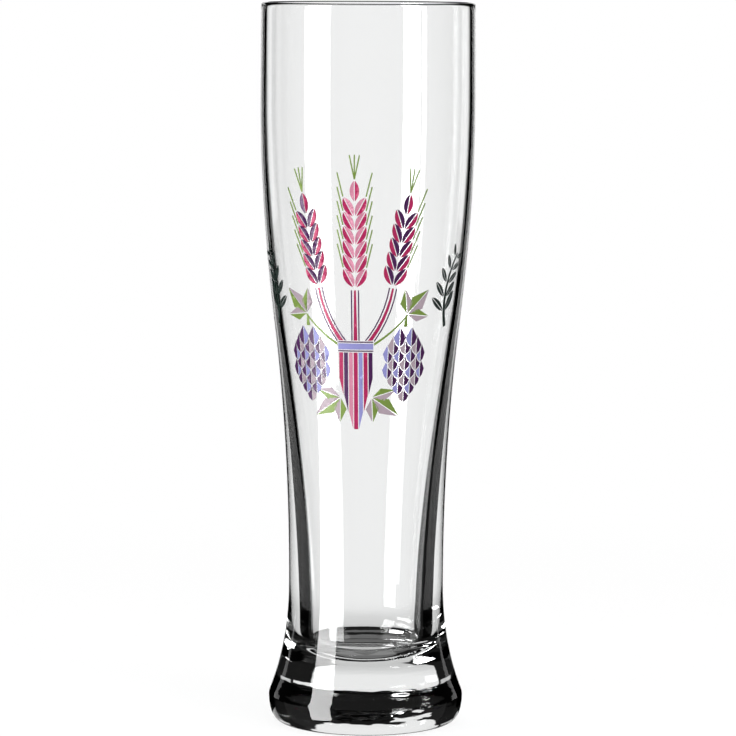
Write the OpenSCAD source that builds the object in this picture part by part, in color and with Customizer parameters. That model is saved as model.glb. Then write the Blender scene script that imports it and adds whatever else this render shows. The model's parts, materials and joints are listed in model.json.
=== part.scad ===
// Tall wheat-beer glass with a printed bunch of barley and hops, in millimetres.
// The glass stands on z = 0 and is centred on the Z axis. Its printed front faces -Y.

/* [Glass outline] */
// Height from the table to the rim
glass_h = 255; // [240:1:275]
// Outer width at the mouth
mouth_d = 75.4; // [70:0.2:82]
// Outer width of the bowl where it is widest
belly_d = 75.9; // [70:0.2:82]
// Distance from the rim down to where the bowl is widest
belly_drop = 34; // [25:1:45]
// Outer width where the bowl turns into the slender lower half
shoulder_d = 65.8; // [61:0.2:70]
// Height of that turn
shoulder_z = 143; // [125:1:160]
// Outer width of the waist above the foot
waist_d = 55; // [50:0.2:59]
// Height of the waist
waist_z = 50; // [44:1:60]
// Outer width of the foot at its bulge
foot_d = 69.2; // [69:0.2:76]
// Height of the bulge
foot_z = 9.2; // [8:0.1:10.4]
// Outer width where the flare of the foot turns into the bulge
ankle_d = 68.1; // [64:0.1:68.8]
// Height of that turn
ankle_z = 11.6; // [11:0.1:16]

/* [Wall and base] */
// Wall at the mouth
mouth_wall = 2.1; // [1.8:0.05:2.6]
// Wall where the bowl is widest
belly_wall = 2.2; // [1.8:0.05:2.8]
// Wall at the turn of the bowl
shoulder_wall = 3; // [2.4:0.1:4]
// Width of the drinking space just above its floor
well_d = 39.6; // [34:0.2:43]
// Solid glass below the drinking space
base_t = 21.5; // [17:0.5:28]
// Height of the rounding between the floor of the drinking space and its wall
floor_round_h = 9.5; // [7:0.5:13]
// Width of that rounding
floor_round_w = 13.5; // [10:0.5:16]
// Swelling of the fire-polished rim past each side of the wall
bead_swell = 0.2; // [0.1:0.05:0.5]

/* [Underside] */
// Width that the lower edge of the foot rounds away
foot_edge = 4; // [2.5:0.1:6]
// Width of the flat ring that the glass stands on
ring_w = 3; // [1.5:0.1:4]
// Depth of the hollow inside that ring
hollow_h = 1.6; // [1:0.1:2.4]

/* [Print] */
// Height of the tie in the middle of the printed bunch
tie_z = 137; // [130:1:142]
// Turn of the bunch about the glass, seen from above
bunch_turn = -7; // [-20:1:20]
// Thickness of one layer of fired enamel
ink_t = 0.15; // [0.1:0.01:0.25]
// Clear line between two neighbouring fields of ink
ink_gap = 0.3; // [0.2:0.05:0.4]
// Width of a fine printed line
line_w = 0.45; // [0.3:0.05:0.6]

/* [Barley ears] */
// Length of a grain
grain_l = 7.4; // [6:0.2:8]
// Width of a grain
grain_w = 3.3; // [2.6:0.1:3.6]
// Length of the bristle beyond a grain
awn_l = 8.5; // [6:0.5:11]
// Pairs of grains on the tall ear
tall_pairs = 6; // [4:1:6]
// Pairs of grains on each side ear
side_pairs = 5; // [3:1:6]
// Length of the tall ear's stalk, from the middle of the tie
tall_stalk = 20; // [18:1:24]
// Length of a side ear's stalk, from the middle of the tie
side_stalk = 23; // [22:1:26]

/* [Hop cones and leaves] */
// Width of one scale of a cone
scale_w = 4.6; // [3.8:0.1:5]
// Length of one scale of a cone
scale_l = 7; // [6:0.1:8]
// Length of the bine from the middle of the tie to the stalk of a cone
bine_l = 17; // [16:0.5:20]
// Length of the stalk that a cone hangs on
cone_stalk = 4.4; // [4:0.2:7]
// Length of the middle lobe of a hop leaf
lobe_l = 11.5; // [8:0.5:12]
// Width of the middle lobe of a hop leaf
lobe_w = 6; // [4:0.2:6.6]

/* [Stems and tie] */
// Width of one stem below the tie
stem_w = 1.4; // [1:0.1:1.6]
// Length of the longest stem below the tie
stem_l = 30; // [26:1:34]
// Height of the tie band
tie_h = 3.6; // [2.6:0.2:5]

/* [Side sprigs] */
// Distance round the wall from the middle of the bunch to the foot of a sprig
sprig_u = 35.4; // [35:0.2:42]
// Height of the foot of a sprig above the middle of the tie
sprig_v = 6; // [0:1:12]
// Length of the sprig's stem
sprig_l = 27; // [22:1:30]
// Length of the longest sprig leaf
sprig_leaf_l = 8.8; // [7:0.2:9.4]
// Width of the longest sprig leaf
sprig_leaf_w = 2.7; // [2:0.1:3.2]
// Pairs of leaves on a sprig
sprig_pairs = 5; // [3:1:6]

/* [Hidden] */
$fn = 96;

// Straight bands in one stretch of a wall curve, in a rounded corner and in a printed stroke
curve_steps = 14;
round_steps = 10;
stroke_steps = 6;
// Length by which a cutting shape passes what it cuts
overrun = 1;

// How steep a wall curve is at a turn, as a share of the mean slope between its neighbours
outer_swing_share = 2;
inner_swing_share = 1.65;
flare_swing_share = 2.25;
mouth_swing_share = 1.5;

// A station of a wall curve is [radius, height, slope], the slope as radius gained per height
belly_z = glass_h - belly_drop;
function mean_slope(low, high) = (high[0] - low[0]) / (high[1] - low[1]);
foot = [foot_d / 2, foot_z, 0];
waist = [waist_d / 2, waist_z, 0];
belly = [belly_d / 2, belly_z, 0];
ankle_place = [ankle_d / 2, ankle_z];
ankle = concat(ankle_place, flare_swing_share * mean_slope(ankle_place, waist));
shoulder = [shoulder_d / 2, shoulder_z, outer_swing_share * mean_slope(waist, belly)];
mouth_place = [mouth_d / 2, glass_h - mouth_wall / 2 - bead_swell];
mouth = concat(mouth_place, mouth_swing_share * mean_slope(belly, mouth_place));

heel = [well_d / 2, base_t + floor_round_h, 0];
inner_belly = belly - [belly_wall, 0, 0];
inner_shoulder = [
    shoulder[0] - shoulder_wall, shoulder_z, inner_swing_share * mean_slope(heel, inner_belly)
];
inner_mouth = mouth - [mouth_wall, 0, 0];

// Radius on the smooth curve between two stations, at a share t of the height between them
function curve_r(low, high, t) =
    let (rise = high[1] - low[1])
    low[0] * (2 * pow(t, 3) - 3 * pow(t, 2) + 1)
    + high[0] * (3 * pow(t, 2) - 2 * pow(t, 3))
    + low[2] * rise * (pow(t, 3) - 2 * pow(t, 2) + t)
    + high[2] * rise * (pow(t, 3) - pow(t, 2));

// Points from one station up to the next, without the last
function stretch(low, high) = [
    for (i = [0 : curve_steps - 1]) let (t = i / curve_steps)
    [curve_r(low, high, t), low[1] + t * (high[1] - low[1])]
];

// Points of a quarter round about a centre, from below it to beside it, without the last
function quarter_round(centre, w, h) = [
    for (i = [0 : round_steps - 1]) let (a = 90 * i / round_steps)
    centre + [w * sin(a), -h * cos(a)]
];

function backwards(points) = [for (i = [len(points) - 1 : -1 : 0]) points[i]];

// The printed stretch of the outer wall is shared by the glass and the inks on it
bowl_skin = concat(stretch(waist, shoulder), stretch(shoulder, belly));
outer_points = concat(
    quarter_round([foot[0] - foot_edge, foot_z], foot_edge, foot_z),
    stretch(foot, ankle), stretch(ankle, waist), bowl_skin,
    stretch(belly, mouth), [mouth_place]
);
inner_points = concat(
    quarter_round([heel[0] - floor_round_w, heel[1]], floor_round_w, floor_round_h),
    stretch(heel, inner_shoulder), stretch(inner_shoulder, inner_belly),
    stretch(inner_belly, inner_mouth), [[inner_mouth[0], inner_mouth[1]]]
);

module glass() {
    hollow_r = foot[0] - foot_edge - ring_w;
    hollow_ball_r = (pow(hollow_r, 2) + pow(hollow_h, 2)) / (2 * hollow_h);
    color([0.86, 0.9, 0.9, 0.45])
        rotate_extrude()
            union() {
                difference() {
                    polygon(concat([[0, 0]], outer_points, backwards(inner_points), [[0, base_t]]));
                    translate([0, hollow_h - hollow_ball_r]) circle(hollow_ball_r);
                }
                translate(mouth_place - [mouth_wall / 2, 0]) circle(mouth_wall / 2 + bead_swell);
            }
}

// Radius of the outer wall at a height between waist and belly
function wall_r(z) = z < shoulder_z
    ? curve_r(waist, shoulder, (z - waist_z) / (shoulder_z - waist_z))
    : curve_r(shoulder, belly, (z - shoulder_z) / (belly_z - shoulder_z));

// A shape is printed on the outside of the wall only while its own ink's layer is drawn. Its
// place is u, millimetres round the wall from the middle of the bunch to the right, and v,
// millimetres above the middle of the tie. A tilt turns it clockwise from upright.
module printed(ink, u, v, tilt) {
    inside_r = waist[0] / 2;
    outside_r = belly[0] + ink_t + overrun;
    turn = bunch_turn + u / wall_r(tie_z + v) * 180 / PI;
    if ($layer == ink)
        intersection() {
            rotate_extrude()
                polygon(concat(bowl_skin, [for (p = backwards(bowl_skin)) p + [ink_t, 0]]));
            rotate([0, 0, turn]) translate([0, -inside_r, tie_z + v]) rotate([90, 0, 0])
                linear_extrude(outside_r - inside_r) rotate(-tilt) children();
        }
}

// One half of a leaf between two arcs that stands on the origin, side -1 left or 1 right
module half_leaf(l, w, side) {
    arc_r = (pow(l, 2) + pow(w, 2)) / (4 * w);
    intersection() {
        translate([side * (w / 2 - arc_r), l / 2]) circle(arc_r);
        translate([side > 0 ? ink_gap / 2 : -w, 0]) square([w - ink_gap / 2, l]);
    }
}

// Point and heading on a bent stalk, [across, along, tilt], at a share of its length
function stalk_at(l, lean, curl, share) =
    let (
        half_turn = curl * share / 2,
        chord = l * share * (half_turn == 0 ? 1 : sin(half_turn) / (half_turn * PI / 180))
    )
    [chord * sin(lean + half_turn), chord * cos(lean + half_turn), lean + curl * share];

// A stroke that runs along such a stalk, shifted to its right, and narrows from end to end
module stroke(l, lean, curl, w_from, w_to, shift = 0) {
    function edge(side) = [
        for (i = [0 : stroke_steps])
        let (
            share = i / stroke_steps, p = stalk_at(l, lean, curl, share),
            off = shift + side * (w_from + (w_to - w_from) * share) / 2
        )
        [p[0], p[1]] + off * [cos(p[2]), -sin(p[2])]
    ];
    polygon(concat(edge(-1), backwards(edge(1))));
}

// Sizes of the tie, and of the stems and stalks that it holds side by side
stem_inks = ["plum", "magenta", "lilac", "magenta", "rose", "plum", "magenta"];
stem_side_count = (len(stem_inks) - 1) / 2;
stem_step = stem_w + ink_gap;
stem_point_share = 0.2;
tie_w = len(stem_inks) * stem_step + ink_gap;
stalk_taper_share = 0.5;
stalk_line_shift = stem_w / 2 + ink_gap + line_w / 2;
side_stalk_lean = 40;
side_stalk_curl = -30;
side_stalk_u = 2 * stem_step;

// What leaves the tie is cut off where the tie band lies
module out_of_tie(u) {
    difference() {
        children();
        translate([-u, 0]) square([tie_w + 2 * ink_gap, tie_h + 2 * ink_gap], center = true);
    }
}

// The stalk of an ear, between two fine lines
module ear_stalk(u, l, lean, curl) {
    printed("magenta", u, 0, 0) out_of_tie(u)
        stroke(l - ink_gap, lean, curl, stem_w, stem_w * stalk_taper_share);
    for (edge = [-1, 1])
        printed("plum", u, 0, 0) out_of_tie(u)
            stroke(l - ink_gap, lean, curl, line_w, line_w, edge * stalk_line_shift);
}

// Stems below the tie, cut to a point
module stems() {
    for (i = [-stem_side_count : stem_side_count])
        printed(stem_inks[i + stem_side_count], 0, -tie_h / 2 - ink_gap, 180)
            translate([i * stem_step, 0]) polygon([
                [-stem_w / 2, 0], [stem_w / 2, 0],
                [stem_w / 2, stem_l * (1 - stem_point_share * abs(i + 0.5))],
                [-stem_w / 2, stem_l * (1 - stem_point_share * abs(i - 0.5))]
            ]);
}

// The tie band, edged with two fine lines
module tie() {
    printed("lilac", 0, 0, 0) square([tie_w, tie_h - 2 * (line_w + ink_gap)], center = true);
    for (edge = [-1, 1])
        printed("plum", 0, 0, 0)
            translate([0, edge * (tie_h - line_w) / 2]) square([tie_w, line_w], center = true);
}

// Sizes of an ear of barley
grain_lean = 28;
grain_root = 0.12 * grain_l;
grain_nest_share = 0.7;
grain_pitch = grain_w * grain_nest_share / sin(grain_lean);
awn_fold_share = 0.5;
awn_fan = 12;

// Half of every grain of an ear, half -1 towards its axis or 1 away from it
module ear_halves(pairs, half) {
    for (k = [0 : pairs - 1], side = [-1, 1])
        translate([0, k * grain_pitch]) rotate(-side * grain_lean)
            translate([0, grain_root]) half_leaf(grain_l, grain_w, side * half);
    translate([0, pairs * grain_pitch + grain_root]) half_leaf(grain_l, grain_w, half);
}

// A bristle beyond each grain on the given sides, and three beyond the last grain
module ear_awns(pairs, sides) {
    tip = grain_root + grain_l + ink_gap;
    for (k = [0 : pairs - 1], side = sides)
        translate([0, k * grain_pitch]) rotate(-side * grain_lean) translate([0, tip])
            rotate(side * grain_lean * awn_fold_share)
                translate([-line_w / 2, 0]) square([line_w, awn_l]);
    translate([0, pairs * grain_pitch + tip])
        for (fan = [-1, 0, 1]) rotate(-fan * awn_fan)
            translate([-line_w / 2, 0]) square([line_w, awn_l]);
}

module barley_ear(u, v, tilt, pairs, awn_sides, outer_ink, inner_ink) {
    printed(outer_ink, u, v, tilt) ear_halves(pairs, 1);
    printed(inner_ink, u, v, tilt) ear_halves(pairs, -1);
    printed("green", u, v, tilt) ear_awns(pairs, awn_sides);
}

// A side ear, at the end of its own bent stalk
module side_ear(side) {
    lean = side * side_stalk_lean;
    curl = side * side_stalk_curl;
    foot_of_ear = stalk_at(side_stalk, lean, curl, 1);
    u = side * side_stalk_u;
    ear_stalk(u, side_stalk, lean, curl);
    barley_ear(u + foot_of_ear[0], foot_of_ear[1], foot_of_ear[2], side_pairs, [side],
        "magenta", "plum");
}

// Scales in each row of a hop cone, from its stalk to its tip, and their sizes
cone_rows = [2, 3, 4, 3, 4, 3, 2, 1];
scale_turn = 27;
scale_nest_share = 0.94;
row_step_share = 0.4;
scale_belly_share = 0.5;
scale_neck_share = 0.62;
scale_neck_place_share = 0.8;

// Scales of row i of a cone as [across, along, share of full width]. A row wraps round the
// cone, so its scales are narrower towards the edges.
function scale_places(i) = [
    for (j = [0 : cone_rows[i] - 1])
    let (round_turn = (j - (cone_rows[i] - 1) / 2) * scale_turn)
    [
        scale_w * scale_nest_share * sin(round_turn) / sin(scale_turn),
        i * scale_l * row_step_share, cos(round_turn)
    ]
];

// One half of a pointed scale that hangs from the origin
module half_scale(w, side) {
    polygon([
        [side * ink_gap / 2, 0], [side * w / 2, scale_belly_share * scale_l],
        [side * w / 2 * scale_neck_share, scale_neck_place_share * scale_l],
        [side * ink_gap / 2, scale_l - ink_gap]
    ]);
}

// The same scale whole, and wider by the clear line
module scale_cover(w) {
    cover_w = w / 2 + ink_gap;
    belly_y = scale_belly_share * scale_l;
    neck = [cover_w * scale_neck_share, scale_neck_place_share * scale_l + ink_gap];
    polygon([
        [0, -ink_gap], [cover_w, belly_y], neck, [0, scale_l + ink_gap],
        [-neck[0], neck[1]], [-cover_w, belly_y]
    ]);
}

// One half of the scales in every second row, each tucked under the two rows before it
module cone_halves(half, first_row) {
    for (i = [first_row : 2 : len(cone_rows) - 1]) difference() {
        for (place = scale_places(i))
            translate([place[0], place[1]]) half_scale(place[2] * scale_w, half);
        for (before = [1, 2])
            if (i >= before)
                for (place = scale_places(i - before))
                    translate([place[0], place[1]]) scale_cover(place[2] * scale_w);
    }
}

// Sizes of the bine that carries a cone and a leaf
bine_u = stem_side_count * stem_step;
bine_lean = 60;
bine_curl = -20;
bine_w_share = 0.6;
upper_leaf_tilt = 45;
lower_leaf_u = (stem_side_count + stem_point_share) * stem_step;
lower_leaf_v_share = 0.6;
lower_leaf_tilt = 125;

// A hop leaf's lobes as [angle, share of the middle lobe], and where a lobe is widest
lobes = [[0, 1], [-52, 0.75], [52, 0.75]];
lobe_belly_share = 0.46;

module hop_leaf(u, v, tilt) {
    for (side = [-1, 1])
        printed(side < 0 ? "green" : "mauve", u, v, tilt)
            for (lobe = lobes) rotate(-lobe[0])
                polygon([
                    [side * ink_gap / 2, ink_gap],
                    [side * lobe_w * lobe[1] / 2, lobe_belly_share * lobe_l * lobe[1]],
                    [side * ink_gap / 2, lobe_l * lobe[1]]
                ]);
}

// A bine out of the tie, with a leaf at its end and a cone that hangs from it
module hop_bine(side) {
    end = stalk_at(bine_l, side * bine_lean, side * bine_curl, 1);
    u = side * bine_u + end[0];
    cone_v = end[1] - cone_stalk;
    printed("green", side * bine_u, 0, 0) out_of_tie(side * bine_u)
        stroke(bine_l, side * bine_lean, side * bine_curl, stem_w * bine_w_share, line_w);
    printed("green", u, end[1], 180) stroke(cone_stalk - ink_gap, 0, 0, line_w, stem_w);
    printed("plum", u, cone_v, 180) {
        cone_halves(-side, 0);
        cone_halves(-side, 1);
    }
    printed("lilac", u, cone_v, 180) cone_halves(side, 0);
    printed("mauve", u, cone_v, 180) cone_halves(side, 1);
    hop_leaf(u + side * ink_gap, end[1] + ink_gap, side * upper_leaf_tilt);
}

// Sizes of a sprig beside the bunch
sprig_lean = -20;
sprig_curl = 60;
sprig_leaf_lean = 40;
sprig_leaf_root = 0.12 * sprig_leaf_l;
sprig_fade_share = 0.5;
sprig_tip_room_share = 0.5;

module sprig(side) {
    lean = side * sprig_lean;
    curl = side * sprig_curl;
    printed("ink", side * sprig_u, sprig_v, 0) {
        stroke(sprig_l, lean, curl, stem_w, line_w);
        for (k = [1 : sprig_pairs], s = [-1, 1]) {
            place = stalk_at(sprig_l, lean, curl, k / (sprig_pairs + sprig_tip_room_share));
            size = 1 - sprig_fade_share * k / sprig_pairs;
            translate([place[0], place[1]]) rotate(-place[2] - s * sprig_leaf_lean)
                translate([0, sprig_leaf_root]) for (half = [-1, 1])
                    half_leaf(sprig_leaf_l * size, sprig_leaf_w * size, half);
        }
    }
}

// The whole print, of which one ink's layer is drawn at a time
module print_layer(ink) {
    $layer = ink;
    ear_stalk(0, tall_stalk, 0, 0);
    barley_ear(0, tall_stalk, 0, tall_pairs, [-1, 1], "magenta", "rose");
    for (side = [-1, 1]) {
        side_ear(side);
        hop_bine(side);
        hop_leaf(side * lower_leaf_u, -lower_leaf_v_share * stem_l, side * lower_leaf_tilt);
        sprig(side);
    }
    stems();
    tie();
}

module print_magenta() { color([0.75, 0.16, 0.37]) print_layer("magenta"); }
module print_plum() { color([0.3, 0.14, 0.34]) print_layer("plum"); }
module print_lilac() { color([0.57, 0.57, 0.8]) print_layer("lilac"); }
module print_rose() { color([0.85, 0.55, 0.65]) print_layer("rose"); }
module print_mauve() { color([0.68, 0.62, 0.69]) print_layer("mauve"); }
module print_green() { color([0.5, 0.6, 0.27]) print_layer("green"); }
module print_ink() { color([0.1, 0.16, 0.15]) print_layer("ink"); }

glass();
print_magenta();
print_plum();
print_lilac();
print_rose();
print_mauve();
print_green();
print_ink();
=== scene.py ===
# %% [markdown]
# # A tall wheat-beer glass with a fired print
# The object is one blown and pressed glass with a thick base, a slender lower half, a wide
# bowl and a fire-polished rim. A bunch of barley and hops is printed on its front in seven
# inks. The solids come from the CAD frame. This script gives the glass a smooth wall, fires
# the inks on it and puts it in a small studio.

# %% Load the CAD frame
import json
import math
import bpy
from mathutils import Matrix, Vector
from mathutils.geometry import interpolate_bezier

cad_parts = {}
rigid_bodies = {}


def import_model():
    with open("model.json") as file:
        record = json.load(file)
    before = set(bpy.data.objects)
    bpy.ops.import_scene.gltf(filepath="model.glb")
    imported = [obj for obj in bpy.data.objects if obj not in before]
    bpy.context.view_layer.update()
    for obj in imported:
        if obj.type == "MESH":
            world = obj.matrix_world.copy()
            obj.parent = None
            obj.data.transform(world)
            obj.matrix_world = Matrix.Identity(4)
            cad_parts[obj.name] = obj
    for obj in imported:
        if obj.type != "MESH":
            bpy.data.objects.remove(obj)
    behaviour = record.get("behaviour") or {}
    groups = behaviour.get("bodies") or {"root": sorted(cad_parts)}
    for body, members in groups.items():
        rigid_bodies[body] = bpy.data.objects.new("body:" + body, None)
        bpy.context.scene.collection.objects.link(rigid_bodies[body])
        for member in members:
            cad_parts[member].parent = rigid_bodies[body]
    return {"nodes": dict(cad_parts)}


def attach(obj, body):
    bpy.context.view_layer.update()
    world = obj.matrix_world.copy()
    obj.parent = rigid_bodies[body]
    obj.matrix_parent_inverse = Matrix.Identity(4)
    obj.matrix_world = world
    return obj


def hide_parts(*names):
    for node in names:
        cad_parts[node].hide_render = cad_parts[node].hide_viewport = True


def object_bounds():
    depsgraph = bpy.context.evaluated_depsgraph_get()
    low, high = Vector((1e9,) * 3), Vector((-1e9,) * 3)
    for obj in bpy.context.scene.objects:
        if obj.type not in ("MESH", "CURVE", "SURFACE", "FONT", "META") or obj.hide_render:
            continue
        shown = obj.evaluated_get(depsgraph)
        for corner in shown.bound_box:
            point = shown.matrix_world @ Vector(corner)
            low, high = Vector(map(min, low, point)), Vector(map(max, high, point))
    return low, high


for leftover in list(bpy.data.objects):
    bpy.data.objects.remove(leftover)
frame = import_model()
cad_low, cad_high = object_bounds()
MM = 0.001
GLASS_NODE = frame["nodes"]["glass"]
GLASS_HEIGHT = cad_high.z - cad_low.z
print("nodes:", ", ".join(sorted(frame["nodes"])))
print("glass height: %.1f mm" % (GLASS_HEIGHT / MM))

# %% [markdown]
# ## Reading the wall's outline
# The CAD glass is a solid of revolution whose outline is made of short straight bands. Light
# that is bent by a glass shows each flat band as a crease, so the render needs a finer wall on
# the same outline. Every ring of the solid has one point on the half plane x > 0, y = 0. The
# edges between those points, walked from the axis below to the floor inside, are the outline.
# Some rings only divide a straight band in two, and those are left out of the walk.

# %% Outline points on one half plane
HAIR = 0.01 * MM
STRAIGHT = 0.0003 * MM


def on_half_plane(point):
    return abs(point.y) < HAIR and point.x > -HAIR


def off_line(point, start, end):
    """Distance of a point from the straight line between two others."""
    along = (end - start).normalized()
    across = point - start
    return abs(across.x * along.y - across.y * along.x)


def outline_of(mesh):
    """Points (radius, height) along the cut wall, from the axis below to the inner floor."""
    joined, places = {}, {}
    for edge in mesh.edges:
        ends = [mesh.vertices[index].co for index in edge.vertices]
        if not all(on_half_plane(end) for end in ends):
            continue
        first, second = [(abs(round(end.x, 6)), round(end.z, 6)) for end in ends]
        places[first], places[second] = [Vector((abs(end.x), end.z)) for end in ends]
        if first != second:
            joined.setdefault(first, set()).add(second)
            joined.setdefault(second, set()).add(first)
    path = [min(joined)]
    while joined[path[-1]] - set(path):
        path.append((joined[path[-1]] - set(path)).pop())
    points = [places[key] for key in path]
    bends = [
        point for before, point, after in zip(points, points[1:], points[2:])
        if off_line(point, before, after) > STRAIGHT
    ]
    return [points[0], *bends, points[-1]]


cad_outline = outline_of(GLASS_NODE.data)
print("outline of the CAD glass: %d points" % len(cad_outline))

# %% [markdown]
# ## Smoothing the outline
# A smooth curve is drawn through all the points of the outline, with Bezier handles along the
# mean direction of the two neighbouring bands. The handles follow the shorter band, so that
# a tight round such as the rim doesn't pull on the long wall beside it. Each band then gets
# as many points as its length and its turn ask for, and no point goes below the table. The
# flame that polishes the rim lets its small bead run into the wall, so the bead is first drawn
# in until it is flush with the wall.

# %% A fine outline through the same points
LONGEST_BAND = 2.4 * MM
LARGEST_TURN = math.radians(5)
HOLLOW_CORNER = math.radians(15)


def heading(before, here, after):
    """Direction of the smooth curve at a point, between its two neighbours."""
    back, ahead = here - before, after - here
    return (back / back.length_squared + ahead / ahead.length_squared).normalized()


def fine_outline(points):
    """The same outline with enough points to look round."""
    past_axis = Vector((-points[1].x, points[1].y))
    past_floor = points[-1] + Vector((-MM, 0))
    longer = [past_axis, *points, past_floor]
    ways = [heading(*longer[i:i + 3]) for i in range(len(points))]
    lengths = [(b - a).length for a, b in zip(longer, longer[1:])]
    fine = []
    for i, (start, end) in enumerate(zip(points, points[1:])):
        length = lengths[i + 1]
        near = ways[i] * min(length, 2 * lengths[i]) / 3
        far = ways[i + 1] * min(length, 2 * lengths[i + 2]) / 3
        turn = ways[i].angle(ways[i + 1])
        steps = max(1, math.ceil(length / LONGEST_BAND), math.ceil(turn / LARGEST_TURN))
        fine += interpolate_bezier(start, start + near, end - far, end, steps + 1)[:-1]
    on_table = [Vector((point.x, max(point.y, cad_low.z))) for point in fine]
    return [*on_table, points[-1], Vector((0, points[-1].y))]


def melted(points):
    """The outline with the bead of the rim drawn in until it runs flush into the wall."""
    bands = [after - before for before, after in zip(points, points[1:])]
    outer, inner = [
        i for i in range(1, len(bands)) if bands[i - 1].angle_signed(bands[i]) > HOLLOW_CORNER
    ]
    middle = (points[outer].x + points[inner].x) / 2
    bead = points[outer + 1:inner]
    widest = max(bead, key=lambda point: abs(point.x - middle))
    share = (points[outer].x - middle) / abs(widest.x - middle)
    drawn_in = [
        Vector((middle + (point.x - middle) * share, point.y))
        for point in bead if point.y > widest.y - HAIR
    ]
    print("rim: bead drawn in to %.0f %% of its width" % (100 * share))
    return [*points[:outer], *drawn_in, *points[inner + 1:]]


wall_outline = fine_outline(melted(cad_outline))
print("outline of the render glass: %d points" % len(wall_outline))

# %% [markdown]
# ## Spinning the glass
# A glass like this is turned while it is shaped, so the natural tool is a spin about the
# upright axis. One corner of a plane is extruded along the outline, and the line is then spun
# once round. The two ends of the line lie on the axis, where the copies of a point are merged
# into one pole.

# %% Extrude the outline and spin it
ROUND_STEPS = 240
SHARP_ON_WALL = math.radians(30)


def deselect_all():
    if bpy.context.object and bpy.context.object.mode != "OBJECT":
        bpy.ops.object.mode_set(mode="OBJECT")
    bpy.ops.object.select_all(action="DESELECT")


def triangles(piece):
    return sum(len(face.vertices) - 2 for face in piece.data.polygons)


def start_point(name, place):
    """A new mesh with one point, left in edit mode with the point selected."""
    deselect_all()
    bpy.ops.mesh.primitive_plane_add(size=MM)
    piece = bpy.context.object
    piece.name = piece.data.name = name
    bpy.ops.object.mode_set(mode="EDIT")
    bpy.ops.mesh.merge(type="CENTER")
    bpy.ops.transform.translate(value=place)
    return piece


def spun(name, outline):
    """A closed round piece whose cut wall has this outline."""
    corners = [Vector((radius, 0, height)) for radius, height in outline]
    piece = start_point(name, corners[0])
    for before, after in zip(corners, corners[1:]):
        bpy.ops.mesh.extrude_vertices_move(TRANSFORM_OT_translate={"value": after - before})
    bpy.ops.mesh.select_all(action="SELECT")
    bpy.ops.mesh.spin(
        steps=ROUND_STEPS, angle=math.tau, center=(0, 0, 0), axis=(0, 0, 1))
    bpy.ops.mesh.select_all(action="SELECT")
    bpy.ops.mesh.remove_doubles(threshold=HAIR / 10)
    bpy.ops.mesh.normals_make_consistent(inside=False)
    bpy.ops.object.mode_set(mode="OBJECT")
    bpy.ops.object.shade_smooth_by_angle(angle=SHARP_ON_WALL)
    return piece


clear_wall = spun("clear_wall", wall_outline)
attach(clear_wall, "root")
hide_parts("glass")
print("clear wall: %d triangles" % triangles(clear_wall))

# %% [markdown]
# ## Seating the inks
# Fired enamel melts into the glass under it. The CAD inks stand on the straight bands of the
# CAD wall, so on the finer wall a few hundredths of a millimetre would be left behind them,
# and that shows as silver from inside. Each ink is a merged copy of its CAD node whose points
# are moved along the radius: the inner face sinks a little into the finer wall, and the outer
# face keeps the thickness of the ink above it.

# %% Copy each ink and sink it into the wall
SINK = 0.05 * MM
SHARP_ON_INK = math.radians(25)
INK_NAMES = sorted(name for name in frame["nodes"] if name.startswith("print_"))


def outside_of(outline):
    """The stretch of an outline from the axis below to the top of the rim."""
    top = max(range(len(outline)), key=lambda i: outline[i].y)
    return outline[:top + 1]


def radius_on(wall, height):
    """Radius of a wall outline at this height, on the straight band that crosses it."""
    for low, high in zip(wall, wall[1:]):
        if low.y <= height < high.y:
            return low.x + (high.x - low.x) * (height - low.y) / (high.y - low.y)
    raise ValueError("no wall at %.4f" % height)


def merged_copy(node, name):
    """A copy of a CAD node with a mesh of its own and no doubled points."""
    deselect_all()
    node.select_set(True)
    bpy.context.view_layer.objects.active = node
    copy = bpy.data.objects.new(name, node.data.copy())
    copy.data.name = name
    copy.data.materials.clear()
    bpy.context.collection.objects.link(copy)
    deselect_all()
    copy.select_set(True)
    bpy.context.view_layer.objects.active = copy
    bpy.ops.object.mode_set(mode="EDIT")
    bpy.ops.mesh.select_all(action="SELECT")
    bpy.ops.mesh.remove_doubles(threshold=HAIR / 10)
    bpy.ops.object.mode_set(mode="OBJECT")
    return copy


def seated(node, name):
    """An ink whose inner face lies just inside the render glass."""
    ink = merged_copy(node, name)
    cad_wall, fine_wall = outside_of(cad_outline), outside_of(wall_outline)
    thick = 0
    for point in ink.data.vertices:
        radius = math.hypot(point.co.x, point.co.y)
        above = radius - radius_on(cad_wall, point.co.z)
        thick = max(thick, above)
        wall = radius_on(fine_wall, point.co.z)
        moved = wall + above if above > 2 * HAIR else wall - SINK
        point.co.x *= moved / radius
        point.co.y *= moved / radius
    bpy.ops.object.shade_smooth_by_angle(angle=SHARP_ON_INK)
    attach(ink, "root")
    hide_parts(node.name)
    print("%s: %d triangles, %.3f mm thick" % (name, triangles(ink), thick / MM))
    return ink


inks = [
    seated(frame["nodes"][name], name.replace("print", "enamel")) for name in INK_NAMES
]

# %% [markdown]
# ## A small language for shaders
# A node tree is a sum written with boxes and wires. These two classes let it be written as a
# sum in Python again: a Wire is one output, and arithmetic on wires adds the Math nodes. A
# Board is one tree, and its one method adds any other node from its type, its settings and
# the values of its sockets.

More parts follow.
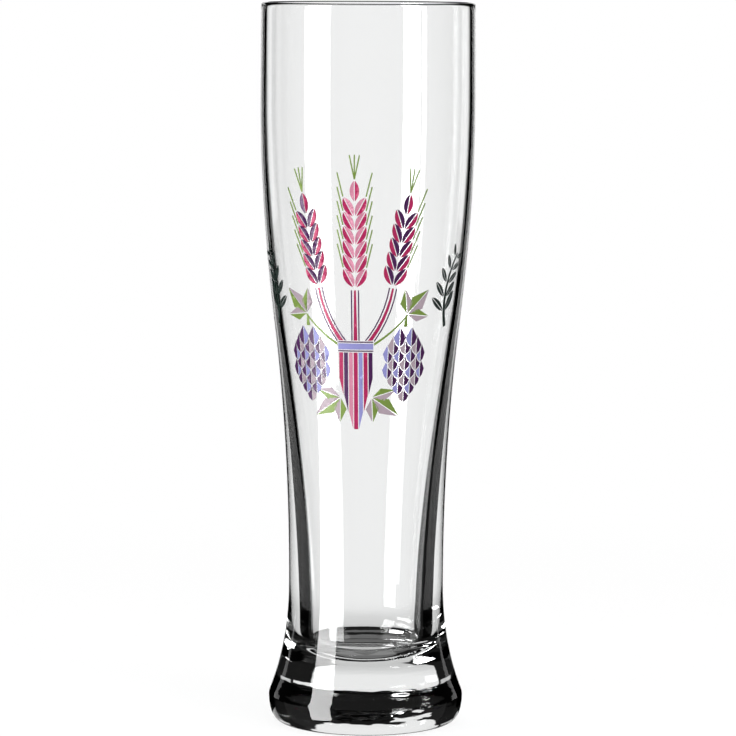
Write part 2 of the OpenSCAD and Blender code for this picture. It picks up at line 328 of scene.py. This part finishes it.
# %% Wires and boards
class Wire:
    """One output of a node, which can stand in Python arithmetic."""

    def __init__(self, board, socket):
        self.board, self.socket = board, socket

    def math(self, operation, first, second=0.0):
        return self.board.add("Math", {"operation": operation}, {0: first, 1: second})

    def __add__(self, other):
        return self.math("ADD", self, other)

    def __sub__(self, other):
        return self.math("SUBTRACT", self, other)

    def __rsub__(self, other):
        return self.math("SUBTRACT", other, self)

    def __mul__(self, other):
        return self.math("MULTIPLY", self, other)

    def __truediv__(self, other):
        return self.math("DIVIDE", self, other)

    __radd__ = __add__


class Board:
    """The node tree of a material or a world, cleared for a new start."""

    def __init__(self, owner):
        owner.use_nodes = True
        self.tree = owner.node_tree
        self.tree.nodes.clear()

    def add(self, kind, settings, sockets, output=0):
        """Adds a node, sets it, feeds its sockets and returns a wire from one output."""
        node = self.tree.nodes.new("ShaderNode" + kind)
        for name, setting in settings.items():
            setattr(node, name, setting)
        for name, value in sockets.items():
            if isinstance(value, Wire):
                self.tree.links.new(value.socket, node.inputs[name])
            else:
                node.inputs[name].default_value = value
        return Wire(self, node.outputs[output]) if node.outputs else None


def smooth_between(board, wire, start, end):
    """0 below start, 1 above end and a smooth rise between them."""
    return board.add(
        "MapRange", {"interpolation_type": "SMOOTHSTEP"},
        {"Value": wire, "From Min": start, "From Max": end})


print("shader language ready")

# %% [markdown]
# ## Clear glass
# Soda-lime glass bends light a little more than water does. The wall of a pressed base is
# never quite even, because hot glass runs against a cooler mould, and this unevenness is what
# breaks the edges of dark and light in a real base. It is a low bump here, strong in the
# base and faint in the bowl. The glass swallows a little light along its way, which shows only
# where the way is long: across the solid base. Lamps have to reach the inks through the wall,
# so a ray to a lamp meets a thin grey film in place of the glass.

# %% Glass material
GLASS_BEND = 1.52
GLASS_TINT = (0.992, 0.995, 0.994, 1)
SHADOW_FILM = (0.86, 0.87, 0.87, 1)
DEPTH_TINT = (0.42, 0.44, 0.43, 1)
DEPTH_PER_METRE = 4.2
WAVES_PER_METRE = 55.0
FOLDS_PER_METRE = 75.0
FOLD_SQUASH = (1, 1, 3.5)
FOLD_SHARE = 1.6
BOWL_SHARE = 0.2
DENT = 0.06 * MM
FLOOR_INSIDE = wall_outline[-1].y
BASE_END = (0.8 * FLOOR_INSIDE, 1.6 * FLOOR_INSIDE)


def clear_glass():
    material = bpy.data.materials.new("clear_glass")
    board = Board(material)
    place = board.add("TexCoord", {}, {}, "Object")
    height = board.add("SeparateXYZ", {}, {0: place}, "Z")
    layers = board.add(
        "VectorMath", {"operation": "MULTIPLY"}, {0: place, 1: FOLD_SQUASH})
    waves = board.add(
        "TexNoise", {}, {"Vector": place, "Scale": WAVES_PER_METRE, "Detail": 1.0})
    folds = board.add(
        "TexNoise", {}, {"Vector": layers, "Scale": FOLDS_PER_METRE, "Detail": 2.0})
    in_base = 1 - smooth_between(board, height, *BASE_END)
    uneven = waves * BOWL_SHARE + (waves + folds * FOLD_SHARE) * in_base
    normal = board.add(
        "Bump", {}, {"Height": uneven, "Strength": 1.0, "Distance": DENT}, "Normal")
    glass = board.add("BsdfPrincipled", {}, {
        "Base Color": GLASS_TINT, "Roughness": 0.0, "IOR": GLASS_BEND,
        "Transmission Weight": 1.0, "Normal": normal})
    film = board.add("BsdfTransparent", {}, {"Color": SHADOW_FILM})
    to_lamp = board.add("LightPath", {}, {}, "Is Shadow Ray")
    mixed = board.add("MixShader", {}, {0: to_lamp, 1: glass, 2: film})
    depth = board.add("VolumeAbsorption", {}, {"Color": DEPTH_TINT, "Density": DEPTH_PER_METRE})
    board.add("OutputMaterial", {}, {"Surface": mixed, "Volume": depth})
    return material


clear_wall.data.materials.append(clear_glass())
print("glass material on", clear_wall.name)

# %% [markdown]
# ## Fired enamel
# Screen-printed enamel is powdered coloured glass that melts onto the wall. It is opaque and
# glossy, with a skin that is slightly uneven and a colour that is a little cloudy.

# %% Enamel materials
ENAMEL_COLOURS = {
    "enamel_magenta": (0.34, 0.009, 0.078),
    "enamel_plum": (0.05, 0.008, 0.065),
    "enamel_lilac": (0.23, 0.23, 0.49),
    "enamel_rose": (0.52, 0.2, 0.29),
    "enamel_mauve": (0.34, 0.27, 0.31),
    "enamel_green": (0.15, 0.23, 0.04),
    "enamel_ink": (0.009, 0.018, 0.015),
}
CLOUDS_PER_METRE = 320.0
GRAINS_PER_METRE = 1400.0
DEEPER = 0.8
SMOOTHEST = 0.3
CLOUD_ROUGHNESS = 0.15
ENAMEL_BEND = 1.45
GRAIN = 0.01 * MM


def enamel(name, colour):
    material = bpy.data.materials.new(name)
    board = Board(material)
    place = board.add("TexCoord", {}, {}, "Object")
    cloud = board.add(
        "TexNoise", {}, {"Vector": place, "Scale": CLOUDS_PER_METRE, "Detail": 3.0})
    skin = board.add(
        "TexNoise", {}, {"Vector": place, "Scale": GRAINS_PER_METRE, "Detail": 1.0})
    deep_colour = tuple(DEEPER * part for part in colour)
    tint = board.add(
        "Mix", {"data_type": "RGBA"},
        {"Factor": cloud, "A": (*deep_colour, 1), "B": (*colour, 1)}, 2)
    normal = board.add(
        "Bump", {}, {"Height": skin, "Strength": 0.6, "Distance": GRAIN}, "Normal")
    paint = board.add("BsdfPrincipled", {}, {
        "Base Color": tint, "Roughness": cloud * CLOUD_ROUGHNESS + SMOOTHEST,
        "IOR": ENAMEL_BEND, "Normal": normal})
    board.add("OutputMaterial", {}, {"Surface": paint})
    return material


for ink in inks:
    ink.data.materials.append(enamel(ink.name, ENAMEL_COLOURS[ink.name]))
print("enamels:", ", ".join(ink.name for ink in inks))

# %% [markdown]
# ## The camera
# The camera stands a little above the middle of the glass and looks slightly down, far off
# with a long lens, as a product photographer does to keep the upright edges straight.

# %% Camera
CAMERA_DISTANCE = 1.3203
CAMERA_SIDE = 0.0004
CAMERA_HEIGHT = 0.2734
CAMERA_TILT = math.radians(6.37)
CAMERA_ROLL = math.radians(0.25)
LENS = 183.4
FARTHEST_SEEN = 20

deselect_all()
bpy.ops.object.camera_add(
    location=(CAMERA_SIDE, -CAMERA_DISTANCE, CAMERA_HEIGHT),
    rotation=(math.pi / 2 - CAMERA_TILT, 0, 0))
camera = bpy.context.object
camera.data.lens = LENS
camera.data.clip_end = FARTHEST_SEEN
camera.matrix_basis = camera.matrix_basis @ Matrix.Rotation(CAMERA_ROLL, 4, "Z")
bpy.context.scene.camera = camera
print("camera: %.0f mm lens at %.2f m" % (LENS, CAMERA_DISTANCE))

# %% [markdown]
# ## The studio
# Clear glass has no colour of its own: it shows what stands round it. Its outline reads when
# a bright panel fills the view behind it and dark flags stand to both sides of that panel,
# because the steep edges of the wall bend the view sideways to the flags. One tall softbox
# on the photographer's left gives both upright streaks: the outside of the wall mirrors it on
# the left, and the inside of the wall behind mirrors it on the right. These surroundings are
# painted inside a large dome that only reflections and bent light see. Every place on it has
# an angle round the glass, 0 behind it and minus on the left, and a rise above the level, both
# in degrees. The panel has round corners and is brightest in its upper part. The dome turns
# about the upright axis to face the camera, as when a glass stands on a turntable and the
# studio stays.

# %% Where the lights of the dome stand
PANEL_ANGLE = {"middle": -7, "half": 32}
PANEL_RISE = {"middle": -9.5, "half": 27.5}
PANEL_EDGE = (0.92, 1.08)
PANEL_FADE = {"From Min": -38, "From Max": -14, "To Min": 0.72, "To Max": 0.84}
PANEL_STEP = (-19, -14)
PANEL_STEP_GLOW = 0.2
DARK_ROOM = 0.012
# Each light has from, to and soft edge of its angle, the same of its rise, and its glow.
LIGHTS = {
    "rim light": ((-38, -29, 1.0), (-14, -6, 1.0), 0.5),
    "wing": ((24, 38, 0.5), (-7, 1, 0.5), 1.0),
    "softbox": ((-138, -109, 0.7), (-30, 45, 0.7), 12.0),
}
LIGHTS_ON_BOTH_SIDES = {
    "sheet": ((41, 56, 1.0), (-5.5, 6, 0.5), 0.7),
    "table beside": ((68, 145, 2.0), (-100, -6, 2.0), 0.1),
    "table below": ((-10, 190, 1.0), (-100, -50, 2.0), 0.16),
}
print("lights of the dome:", ", ".join(["panel", *LIGHTS, *LIGHTS_ON_BOTH_SIDES]))

# %% Dome of panels and flags
DOME_RADIUS = 3.0
DEGREES = 180 / math.pi


def dome_paint():
    material = bpy.data.materials.new("studio_dome")
    board = Board(material)
    place = board.add("TexCoord", {}, {}, "Object")
    unit = board.add("VectorMath", {"operation": "NORMALIZE"}, {0: place})
    x = board.add("SeparateXYZ", {}, {0: unit}, "X")
    y = board.add("SeparateXYZ", {}, {0: unit}, "Y")
    z = board.add("SeparateXYZ", {}, {0: unit}, "Z")
    angle = board.add("Math", {"operation": "ARCTAN2"}, {0: x, 1: y}) * DEGREES
    rise = board.add("Math", {"operation": "ARCSINE"}, {0: z}) * DEGREES
    side = board.add("Math", {"operation": "ABSOLUTE"}, {0: angle})

    def fourth_power(wire, middle, half):
        """0 in the middle of the panel and 1 at its edge, for a panel with round corners."""
        share = board.add("Math", {"operation": "ABSOLUTE"}, {0: (wire - middle) / half})
        return board.add("Math", {"operation": "POWER"}, {0: share, 1: 4.0})

    def window(wire, low, high, soft):
        """1 between two angles and 0 outside them, with soft edges."""
        return (smooth_between(board, wire, low - soft, low + soft)
                * (1 - smooth_between(board, wire, high - soft, high + soft)))

    def sum_of(lights, way_round):
        return sum(
            window(way_round, *across) * window(rise, *upward) * glow
            for across, upward, glow in lights.values())

    outward = fourth_power(angle, **PANEL_ANGLE) + fourth_power(rise, **PANEL_RISE)
    fading = board.add("MapRange", {}, {"Value": rise, **PANEL_FADE})
    step = smooth_between(board, rise, *PANEL_STEP) * PANEL_STEP_GLOW
    panel = (1 - smooth_between(board, outward, *PANEL_EDGE)) * (fading + step)
    others = sum_of(LIGHTS, angle) + sum_of(LIGHTS_ON_BOTH_SIDES, side)
    shine = board.add("Emission", {}, {"Strength": panel + others + DARK_ROOM})
    board.add("OutputMaterial", {}, {"Surface": shine})
    material.cycles.emission_sampling = "NONE"
    return material


def seen_only_in_glass(thing):
    thing.visible_camera = False
    thing.visible_diffuse = False
    thing.visible_shadow = False
    thing.visible_volume_scatter = False


deselect_all()
bpy.ops.mesh.primitive_uv_sphere_add(segments=64, ring_count=32, radius=DOME_RADIUS)
dome = bpy.context.object
dome.name = dome.data.name = "studio_dome"
dome.data.materials.append(dome_paint())
seen_only_in_glass(dome)

bpy.ops.object.empty_add()
turntable = bpy.context.object
turntable.name = "turntable"
facing = turntable.constraints.new("LOCKED_TRACK")
facing.target = camera
facing.track_axis = "TRACK_NEGATIVE_Y"
facing.lock_axis = "LOCK_Z"
dome.parent = turntable
print("dome: radius %.1f m" % DOME_RADIUS)

# %% [markdown]
# ## Black cards
# Photographers cut two black cards to the outline of a clear glass and stand them close
# beside it. Light that leaves the wall sideways meets a card, so the thick edges of the wall
# turn dark. A card has to stand a little further back at the thick foot than at the thin rim,
# so it leans. It starts as a line along the wall's outside. The line is extruded, and the new
# points are pushed out to one upright edge. Only bent and mirrored light sees the cards.

# %% A card on each side
CARD_GAP = 1.4 * MM
CARD_FOOT_BACK = 4.5 * MM
CARD_TOP_BACK = 0
CARD_PAST_BOWL = 8 * MM
CARD_REACH = cad_high.x + CARD_PAST_BOWL


def card_paint():
    material = bpy.data.materials.new("black_card")
    board = Board(material)
    dull = board.add("Emission", {}, {"Strength": 0.0})
    board.add("OutputMaterial", {}, {"Surface": dull})
    return material


def cut_card(name, outward):
    """A card beside the glass whose inner edge follows the wall, outward -1 left or 1 right."""
    lean = (CARD_TOP_BACK - CARD_FOOT_BACK) / GLASS_HEIGHT
    edge = [
        Vector((outward * (point.x + CARD_GAP), CARD_FOOT_BACK + lean * point.y, point.y))
        for point in outside_of(wall_outline) if point.x > cad_high.x / 2
    ]
    card = start_point(name, edge[0])
    for before, after in zip(edge, edge[1:]):
        bpy.ops.mesh.extrude_vertices_move(TRANSFORM_OT_translate={"value": after - before})
    bpy.ops.mesh.select_all(action="SELECT")
    bpy.ops.mesh.extrude_region_move()
    bpy.ops.transform.resize(value=(0, 1, 1), center_override=(outward * CARD_REACH, 0, 0))
    bpy.ops.object.mode_set(mode="OBJECT")
    card.data.materials.append(card_paint())
    seen_only_in_glass(card)
    card.parent = turntable
    return card


cards = [cut_card("card_left", -1), cut_card("card_right", 1)]
print("cards:", ", ".join(card.name for card in cards))

# %% [markdown]
# ## Lamps
# Large soft lamps light the inks and the floor from both sides and from above. They stay out
# of the glass, where the painted lights stand for them.

# %% Soft lamps
# Each lamp has its place and its size in metres and its power in watts.
LAMPS = {
    "lamp_left": ((-1.1, -0.75, 0.5), (0.6, 0.9), 13),
    "lamp_right": ((1.0, -0.9, 0.5), (0.6, 0.9), 10),
    "lamp_above": ((0, -0.15, 1.4), (1.2, 1.2), 13),
}


def soft_lamp(name, place, size, power):
    """A large lamp that looks at the middle of the glass."""
    deselect_all()
    bpy.ops.object.light_add(type="AREA", location=place)
    lamp = bpy.context.object
    lamp.name = lamp.data.name = name
    lamp.data.shape = "RECTANGLE"
    lamp.data.size, lamp.data.size_y = size
    lamp.data.energy = power
    aim = Vector((0, 0, GLASS_HEIGHT / 2)) - Vector(place)
    lamp.rotation_mode = "QUATERNION"
    lamp.rotation_quaternion = aim.to_track_quat("-Z", "Y")
    lamp.visible_camera = lamp.visible_glossy = lamp.visible_transmission = False
    lamp.parent = turntable


for lamp_name, facts in LAMPS.items():
    soft_lamp(lamp_name, *facts)
print("lamps:", ", ".join(LAMPS))

# %% [markdown]
# ## Floor and room
# The floor is pale and plain. It adds a part of its light by itself where the camera looks, so
# that it comes out white and the soft shadow under the foot stays. The room is white where the
# camera sees it and gives everything else a faint even light.

# %% Floor and room
FLOOR_SIZE = 30.0
FLOOR_GLOW = 0.7
PAPER = (0.9, 0.9, 0.9, 1)
SHADOW_NEAR = 0.1
SHADOW_FAR = 0.5
ROOM_LIGHT = 0.35
WHITE = (1, 1, 1, 1)


def floor_paint():
    material = bpy.data.materials.new("pale_floor")
    board = Board(material)
    paper = board.add("BsdfDiffuse", {}, {"Color": PAPER})
    glow = board.add("Emission", {}, {"Strength": 1.0})
    place = board.add("TexCoord", {}, {}, "Object")
    distance = board.add("VectorMath", {"operation": "LENGTH"}, {0: place}, 1)
    far = smooth_between(board, distance, SHADOW_NEAR, SHADOW_FAR)
    seen = board.add("LightPath", {}, {}, "Is Camera Ray")
    share = seen * (far * (1 - FLOOR_GLOW) + FLOOR_GLOW)
    mixed = board.add("MixShader", {}, {0: share, 1: paper, 2: glow})
    board.add("OutputMaterial", {}, {"Surface": mixed})
    return material


def plain_room():
    world = bpy.data.worlds.new("room")
    board = Board(world)
    seen = board.add("LightPath", {}, {}, "Is Camera Ray")
    strength = seen * (1 - ROOM_LIGHT) + ROOM_LIGHT
    sky = board.add("Background", {}, {"Color": WHITE, "Strength": strength})
    board.add("OutputWorld", {}, {"Surface": sky})
    return world


deselect_all()
bpy.ops.mesh.primitive_plane_add(size=FLOOR_SIZE, location=(0, 0, cad_low.z - HAIR))
floor = bpy.context.object
floor.name = floor.data.name = "floor"
floor.data.materials.append(floor_paint())
floor.visible_glossy = floor.visible_transmission = False
bpy.context.scene.world = plain_room()
bpy.context.scene.view_settings.view_transform = "Standard"
print("floor: %.0f m wide" % FLOOR_SIZE)
